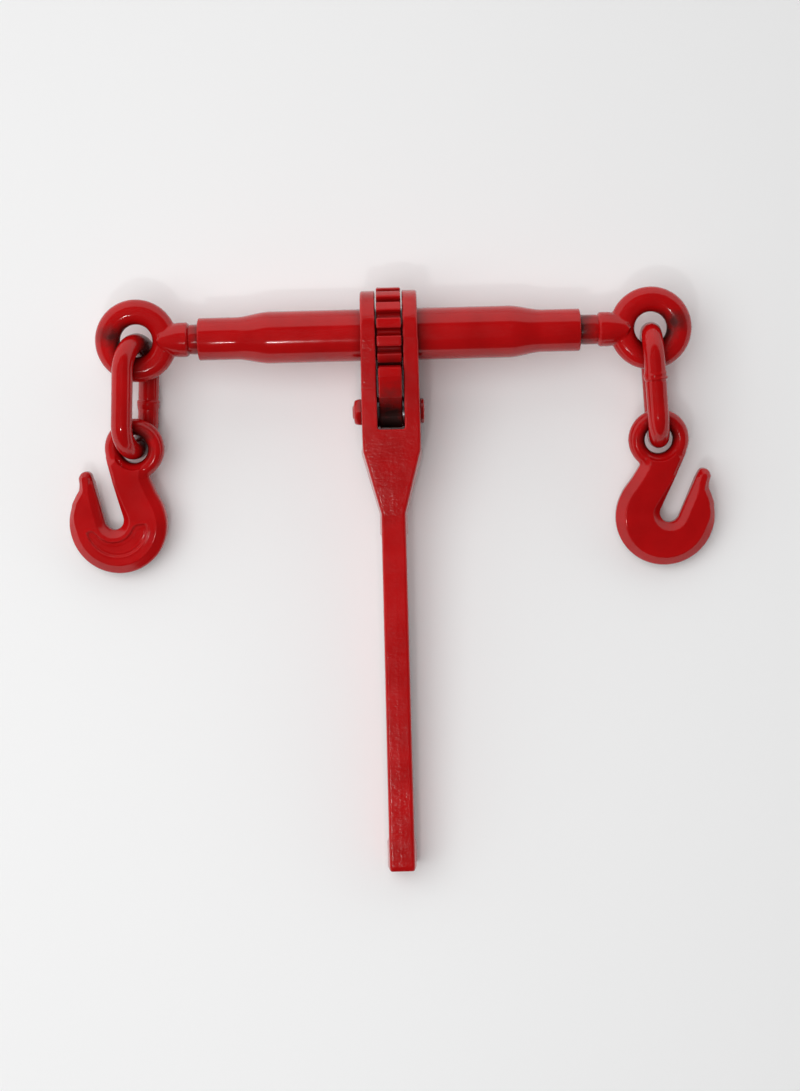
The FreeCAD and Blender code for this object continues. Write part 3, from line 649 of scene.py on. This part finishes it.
def hook_field(x, y, z):
    """A forged plate, bevelled to its edge and throat, with a round-wired eye."""
    radius = np.hypot(x, y)
    ring = np.hypot((radius - HOOK_RING) * RING_WIRE / RING_SQUEEZE, z) - RING_WIRE
    along, across = throat_frame(x, y)
    slot = np.where(along > 0, np.abs(across), np.hypot(along, across)) - THROAT_HALF
    back = polygon(x, y, HOOK_BACK)
    bowl = np.hypot(x - BOWL[0], y - BOWL[1]) - BOWL_RADIUS
    tip = np.hypot(x - PRONG_TIP[0], y - PRONG_TIP[1]) - TIP_RADIUS
    prong = smin(polygon(x, y, HOOK_PRONG), tip, 1.5)
    outline = smin(smin(back, bowl, 1.5), prong, 3.0)
    # the plate's half thickness: thin at the edge and the throat, flat in the middle
    prong_side = ramp(-x, 12, 27) * ramp(y, -62, -48)
    top = PLATE_HALF - 0.9 * ramp(y, -36, -26) * ramp(-x, 10, 20)
    edge = EDGE_HALF + (0.74 + 0.5 * prong_side) * np.maximum(-outline, 0)
    near_eye = np.clip((44 - radius) / 26, 0, 1)
    wall = EDGE_HALF + 0.86 * np.maximum(slot, 0) + 4.0 * near_eye
    height = smin(smin(edge, wall, 0.35), top, 0.35)
    height = height + np.where(z > 0, panel_relief(x, y), 0)
    solid = smax(smax(outline, np.abs(z) - height, 1.0), -slot, 1.2)
    # the plate stops short of the eye's inside, so that the link can swing there
    solid = smax(solid, PLATE_BORE - radius, 1.0)
    solid = smin(solid, ring, 2.0)
    return smax(solid, RING_BORE - radius, 1.5)


# ---- materials ---------------------------------------------------------------------------------

def node(tree, kind, **inputs):
    """Adds a node. Inputs are values or sockets, by the input's name, or by its number as i0, i1 ..."""
    item = tree.nodes.new(kind)
    for key, value in inputs.items():
        by_number = key[0] == "i" and key[1:].isdigit()
        socket = item.inputs[int(key[1:]) if by_number else key.replace("_", " ")]
        if isinstance(value, bpy.types.NodeSocket):
            tree.links.new(value, socket)
        else:
            socket.default_value = value
    return item


def math_node(tree, operation, a, b=0.0):
    item = node(tree, "ShaderNodeMath", i0=a, i1=b)
    item.operation = operation
    return item.outputs[0]


def noise(tree, place, scale, detail=3.0, rough=0.5):
    item = node(tree, "ShaderNodeTexNoise", Vector=place, Scale=scale, Detail=detail, Roughness=rough)
    return item.outputs["Fac"]


def stretched(tree, place, x, y, z):
    item = node(tree, "ShaderNodeMapping", Vector=place)
    item.inputs["Scale"].default_value = (x, y, z)
    return item.outputs[0]


def remap(tree, value, low, high, to_low=0.0, to_high=1.0):
    item = node(tree, "ShaderNodeMapRange", i0=value, i1=low, i2=high, i3=to_low, i4=to_high)
    item.clamp = True
    return item.outputs[0]


def mix(tree, factor, a, b):
    item = tree.nodes.new("ShaderNodeMix")
    item.data_type = "RGBA"
    for socket, value in ((item.inputs[0], factor), (item.inputs[6], a), (item.inputs[7], b)):
        if isinstance(value, bpy.types.NodeSocket):
            tree.links.new(value, socket)
        else:
            socket.default_value = (*value, 1)[:4] if isinstance(value, tuple) else value
    return item.outputs[2]


def new_material(name):
    item = bpy.data.materials.new(name)
    item.use_nodes = True
    tree = item.node_tree
    tree.nodes.clear()
    out = tree.nodes.new("ShaderNodeOutputMaterial")
    shader = tree.nodes.new("ShaderNodeBsdfPrincipled")
    tree.links.new(shader.outputs[0], out.inputs[0])
    place = tree.nodes.new("ShaderNodeTexCoord").outputs["Object"]
    return item, tree, shader, place


RED = (0.46, 0.0030, 0.0040)
RED_DEEP = (0.37, 0.0020, 0.0026)
# a pinker red for worn flecks, and for sharp edges, which it lightens as wear and as a painted highlight
RED_WORN_AND_SHEEN = (0.48, 0.020, 0.022)
# painted shade: the colour that crevices and gaps are darkened towards
RED_PAINTED_SHADE = (0.085, 0.001, 0.001)
# the dark of the spots: painted shade where parts meet, and grease as well on the pawl
GRIME_AND_SHADE = (0.020, 0.011, 0.010)
ZINC = (0.52, 0.52, 0.54)
SPRING_GREY = (0.22, 0.22, 0.23)


def enamel(name, peel, peel_scale=700.0, grime_and_shade_spots=(), rough=0.115, ripple=0.0, forge=0.0, reach=0.014):
    """Glossy red enamel.

    peel is the height of its orange peel, ripple that of the waves along the handle, and forge that
    of the forged lumps under it. reach is how far the painted shade in crevices spreads, in metres.
    Each dark spot, of painted shade and on the pawl also of grease, is (centre, radius, strength), in
    metres.
    """
    item, tree, shader, place = new_material(name)
    broad = noise(tree, place, 38.0, 3.0)
    colour = mix(tree, remap(tree, broad, 0.35, 0.68), RED, RED_DEEP)
    fine = noise(tree, place, 900.0, 2.0)
    colour = mix(tree, remap(tree, fine, 0.6, 0.8, 0, 0.10), colour, RED_WORN_AND_SHEEN)
    # Sharp edges are lightened towards a pinker red: partly wear, partly a painted highlight along the
    # rims.
    geometry = tree.nodes.new("ShaderNodeNewGeometry")
    edge = remap(tree, geometry.outputs["Pointiness"], 0.515, 0.58)
    colour = mix(tree, math_node(tree, "MULTIPLY", edge, 0.5), colour, RED_WORN_AND_SHEEN)
    # Painted shade: ambient occlusion darkens crevices and gaps towards a near-black red.
    crevice = tree.nodes.new("ShaderNodeAmbientOcclusion")
    crevice.inputs["Distance"].default_value = reach
    crevice.samples = 8
    crevice_painted_shade = remap(tree, crevice.outputs["AO"], 0.80, 0.25, 0, 0.9)
    colour = mix(tree, crevice_painted_shade, colour, RED_PAINTED_SHADE)
    grime_and_shade_mask = None
    # Each spot paints a ragged dark patch: painted shade where parts meet, with grease as well on the pawl.
    for centre, radius, strength in grime_and_shade_spots:
        offset = node(tree, "ShaderNodeVectorMath", i0=place, i1=centre)
        offset.operation = "DISTANCE"
        ragged = noise(tree, place, 190.0, 4.0, 0.6)
        ragged = math_node(tree, "MULTIPLY", ragged, radius * 1.3)
        far = math_node(tree, "ADD", offset.outputs["Value"], ragged)
        spot = remap(tree, far, radius * 2.15, radius * 0.95, 0, strength)
        grime_and_shade_mask = spot if grime_and_shade_mask is None else math_node(tree, "MAXIMUM", grime_and_shade_mask, spot)
    gloss = remap(tree, noise(tree, place, 120.0, 3.0), 0.3, 0.7, rough - 0.03, rough + 0.05)
    if grime_and_shade_mask is not None:
        colour = mix(tree, grime_and_shade_mask, colour, GRIME_AND_SHADE)
        gloss = math_node(tree, "ADD", gloss, math_node(tree, "MULTIPLY", grime_and_shade_mask, 0.22))
    tree.links.new(colour, shader.inputs["Base Color"])
    tree.links.new(gloss, shader.inputs["Roughness"])
    shader.inputs["Specular IOR Level"].default_value = 0.36
    shader.inputs["Coat Weight"].default_value = 0.1
    shader.inputs["Coat Roughness"].default_value = 0.05
    height = math_node(tree, "MULTIPLY", noise(tree, place, peel_scale, 2.0, 0.4), peel)
    slow = math_node(tree, "MULTIPLY", noise(tree, place, 150.0, 2.0), 0.8 * peel + forge)
    height = math_node(tree, "ADD", height, slow)
    if ripple:
        wavy = noise(tree, stretched(tree, place, 1.0, 3.2, 1.0), 190.0, 3.0, 0.55)
        height = math_node(tree, "ADD", height, math_node(tree, "MULTIPLY", wavy, ripple))
        across = math_node(tree, "ABSOLUTE", node(tree, "ShaderNodeSeparateXYZ", Vector=place).outputs["X"])
        parting = remap(tree, across, 0.0014, 0.0002, 0, 0.16)
        height = math_node(tree, "ADD", height, parting)
    bump = node(tree, "ShaderNodeBump", Height=height, Strength=1.0, Distance=0.00012)
    tree.links.new(bump.outputs[0], shader.inputs["Normal"])
    return item


def steel(name, colour, rough):
    item, tree, shader, place = new_material(name)
    streak = noise(tree, stretched(tree, place, 60, 900, 900), 1.0, 4.0)
    shade = mix(tree, remap(tree, streak, 0.3, 0.7), colour, tuple(0.6 * c for c in colour))
    tree.links.new(shade, shader.inputs["Base Color"])
    tree.links.new(remap(tree, streak, 0.3, 0.7, rough - 0.06, rough + 0.08), shader.inputs["Roughness"])
    shader.inputs["Metallic"].default_value = 1.0
    bump = node(tree, "ShaderNodeBump", Height=streak, Strength=0.3, Distance=0.00005)
    tree.links.new(bump.outputs[0], shader.inputs["Normal"])
    return item


def paper(name, colour):
    item, tree, shader, place = new_material(name)
    shade = mix(tree, noise(tree, place, 3.0, 2.0), colour, tuple(0.985 * c for c in colour))
    tree.links.new(shade, shader.inputs["Base Color"])
    shader.inputs["Roughness"].default_value = 0.9
    shader.inputs["Specular IOR Level"].default_value = 0.1
    return item


def dress(item, material, body, slot, *nodes):
    """Gives a piece its finish and its body, and hides the solids that it stands for."""
    item.data.materials.clear()
    item.data.materials.append(material)
    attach(item, body)
    if nodes:
        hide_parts(*nodes)
    return item


# ---- pieces ------------------------------------------------------------------------------------

def at_eye(side, x, y, z):
    return tuple((eye_place(side) @ Vector((x, y, z))) / 1000)


def at_hook(side, x, y, z):
    return tuple((hook_place(side) @ Vector((x, y, z))) / 1000)


def at_handle(x, y, z):
    return tuple((HANDLE @ Vector((x, y, z))) / 1000)


tube_red = enamel("enamel_tube", peel=0.12)
# The gear's spot is painted shade over part of the gear, and its longer reach paints deeper shade into the
# gaps between the teeth.
gear_red = enamel("enamel_gear", peel=0.3, reach=0.030, grime_and_shade_spots=[(at_handle(0, -20, 18), 0.012, 0.35)])
# The eyes' spots are painted shade inside the eye, where the link passes through it.
forged_red = {side: enamel(f"enamel_eye_{side}", peel=0.3, forge=0.5, grime_and_shade_spots=[
    (at_eye(side, sx * 14.5, 3.5, 5.5), 0.0058, 0.85),
    (at_eye(side, sx * 18.0, 4.0, 7.0), 0.0052, 0.6),
    (at_eye(side, sx * 10.5, -3, 1), 0.0062, 0.9),
    (at_eye(side, sx * 8.5, 8, 1), 0.0050, 0.7),
    (at_eye(side, sx * -2.0, -16, -4), 0.0080, 0.6),
]) for side, sx in (("left", -1), ("right", 1))}
# The screws' spots are painted shade where each screw enters the barrel's mouth.
shank_red = {side: enamel(f"enamel_shank_{side}", peel=0.3, forge=0.4, grime_and_shade_spots=[
    (at_eye(side, sx * 43.0, 5, 3), 0.0080, 0.7),
    (at_eye(side, sx * 43.0, -6, 3), 0.0080, 0.55),
    (at_eye(side, sx * 45.5, 0, 8), 0.0080, 0.8),
]) for side, sx in (("left", 1), ("right", -1))}
# The links' spots are painted shade where each link meets its eye bolt and its hook.
link_red = {side: enamel(f"enamel_link_{side}", peel=0.3, forge=0.4, grime_and_shade_spots=[
    (at_eye(side, 8, -4, 4), 0.0075, 0.75),
    (at_hook(side, 6, 4, 0), 0.0060, 0.6),
]) for side in ("left", "right")}
# The hooks' spots are painted shade round the eye, where the link passes through it.
hook_red = {side: enamel(f"enamel_hook_{side}", peel=0.35, forge=0.6, grime_and_shade_spots=[
    (at_hook(side, 4, 10, 1), 0.0060, 0.85),
    (at_hook(side, -4, 10, 1), 0.0055, 0.75),
    (at_hook(side, 8.5, 2, 0), 0.0058, 0.85),
    (at_hook(side, -8.5, 2, 0), 0.0050, 0.7),
]) for side in ("left", "right")}
handle_red = enamel("enamel_handle", peel=0.45, peel_scale=600.0, ripple=1.25, forge=0.3, rough=0.14)
# The pawl's spots darken it round its pivot, under the gear and between the handle's ears: grease and
# painted shade.
pawl_red = enamel("enamel_pawl", peel=0.4, grime_and_shade_spots=[
    (at_handle(0, -56, 8), 0.0120, 0.97),
    (at_handle(0, -50, 10), 0.0120, 0.97),
    (at_handle(0, -41, 13), 0.0120, 0.85),
    (at_handle(-6, -40, 13), 0.0090, 0.90),
])
nut_red = enamel("enamel_fastener", peel=0.3)
washer_steel = steel("steel_zinc", ZINC, 0.32)
spring_steel = steel("steel_spring", SPRING_GREY, 0.38)

for side in ("left", "right"):
    dress(make_barrel(side), tube_red, "barrel", "red_enamel", f"barrel_{side}")
    eye_at = eye_place(side) @ facing(side)
    eye = forged(f"{side}_eye", eye_field, (-28, -28, -12.5), (36, 28, 12.5), 0.7, eye_at)
    dress(eye, forged_red[side], f"{side}_eye", "red_enamel_forged", f"{side}_eye_bolt")
    dress(make_shank(side), shank_red[side], f"{side}_eye", "red_enamel_forged", f"{side}_eye_bolt")
    dress(make_link(side), link_red[side], f"{side}_link", "red_enamel_link", f"{side}_link")
    hook_low, hook_high = (-33, -83.5, -8.6), (33, 21, 8.6)
    hook = forged(f"{side}_grab_hook", hook_field, hook_low, hook_high, 0.55, hook_place(side))
    dress(hook, hook_red[side], f"{side}_hook", "red_enamel_hook", f"{side}_hook")

gear = forged("gear_wheel", gear_field, (-8.6, -31, -31), (8.6, 31, 31), 0.5, HANDLE)
dress(gear, gear_red, "barrel", "red_enamel_gear", "ratchet_gear")
lever = forged("lever_handle", handle_field, (-20.3, -347, -29.4), (20.3, 29.4, 29.4), 0.85, HANDLE)
dress(lever, handle_red, "handle", "red_enamel_handle", "handle")
pawl = forged("double_pawl", pawl_field, (-8.2, -61, -32), (8.2, -17, 32), 0.45, HANDLE)
dress(pawl, pawl_red, "pawl", "red_enamel_greased", "pawl")
points, faces = lathe(bolt_profile(), 64)
bolt = mesh_object("pivot_bolt", points, faces, HANDLE @ shift(y=-PIN_DROP))
crease(bolt, 40)
dress(bolt, nut_red, "handle", "red_enamel_fastener", "pawl_bolt")
nut_at = HANDLE @ shift(-NUT_OUT, -PIN_DROP)
nut = forged("pivot_nut", nut_field, (-3.4, -10.5, -10.5), (3.4, 10.5, 10.5), 0.4, nut_at)
dress(nut, nut_red, "handle", "red_enamel_fastener", "pawl_nut")

for name, material in (
    ("pawl_spacer_left", washer_steel), ("pawl_spacer_right", washer_steel),
    ("left_stop_washer", washer_steel), ("right_stop_washer", washer_steel),
    ("left_stop_pin", spring_steel), ("right_stop_pin", spring_steel),
    ("detent_plunger", washer_steel), ("detent_spring", spring_steel),
):
    node_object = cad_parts[name]
    node_object.data.materials.clear()
    node_object.data.materials.append(material)


# ---- stage -------------------------------------------------------------------------------------

FLOOR_REACH = 3.0
FLOOR_DROP = 0.0002
CAMERA_HEIGHT = 1.2
AXIS_HEIGHT = 0.030
VIEW_HEIGHT = 0.696
SENSOR = 24.0
CAMERA_ROLL = -1.45
# the studio's bright part ends at the direction z = EDGE_AT + EDGE_TILT y + EDGE_LEAN x
EDGE_AT = 0.495
EDGE_TILT = 0.397
EDGE_LEAN = -0.10
EDGE_SOFT = 0.04
DIM, BRIGHT = 0.07, 1.0


def make_floor():
    signs = ((-1, -1), (1, -1), (1, 1), (-1, 1))
    mesh = bpy.data.meshes.new("floor")
    corners = [(FLOOR_REACH * a, FLOOR_REACH * b, -FLOOR_DROP) for a, b in signs]
    mesh.from_pydata(corners, [], [(0, 1, 2, 3)])
    item = bpy.data.objects.new("floor", mesh)
    bpy.context.scene.collection.objects.link(item)
    mesh.materials.append(paper("floor_paper", (0.93, 0.93, 0.93)))
    return item


def area_light(name, place, aim, width, height, power):
    data = bpy.data.lights.new(name, "AREA")
    data.shape = "RECTANGLE"
    data.size, data.size_y = width, height
    data.energy = power
    item = bpy.data.objects.new(name, data)
    item.location = place
    item.rotation_euler = (Vector(aim) - Vector(place)).to_track_quat("-Z", "Y").to_euler()
    bpy.context.scene.collection.objects.link(item)
    return item


make_floor()
area_light("key", (-0.20, -0.50, 1.30), (0, 0.1, 0), 0.10, 0.022, 1.35)
fill = area_light("fill", (-0.7, 0.1, 1.8), (0, 0.05, 0), 2.2, 2.2, 31.0)
fill.visible_glossy = False


def make_studio():
    """A bright wrap of soft light up to a slanted edge, and a dim ceiling above it."""
    world = bpy.data.worlds.new("studio")
    bpy.context.scene.world = world
    world.use_nodes = True
    tree = world.node_tree
    toward = tree.nodes.new("ShaderNodeTexCoord").outputs["Generated"]
    split = node(tree, "ShaderNodeSeparateXYZ", Vector=toward)
    edge = math_node(tree, "MULTIPLY_ADD", split.outputs["Y"], EDGE_TILT)
    edge.node.inputs[2].default_value = EDGE_AT
    lean = math_node(tree, "MULTIPLY", split.outputs["X"], EDGE_LEAN)
    edge = math_node(tree, "ADD", edge, lean)
    below = math_node(tree, "SUBTRACT", edge, split.outputs["Z"])
    strength = remap(tree, below, -EDGE_SOFT, EDGE_SOFT, DIM, BRIGHT)
    tree.nodes["Background"].inputs["Color"].default_value = (1, 1, 1, 1)
    tree.links.new(strength, tree.nodes["Background"].inputs["Strength"])


make_studio()
bpy.context.scene.view_settings.view_transform = "Standard"

camera_data = bpy.data.cameras.new("overhead")
camera = bpy.data.objects.new("overhead", camera_data)
bpy.context.scene.collection.objects.link(camera)
camera.location = (0.0036, 0.0226, AXIS_HEIGHT + CAMERA_HEIGHT)
camera.rotation_euler = (0, 0, math.radians(CAMERA_ROLL))
camera_data.sensor_fit = "VERTICAL"
camera_data.sensor_height = SENSOR
camera_data.lens = SENSOR * CAMERA_HEIGHT / VIEW_HEIGHT
camera_data.clip_end = 20
bpy.context.scene.camera = camera
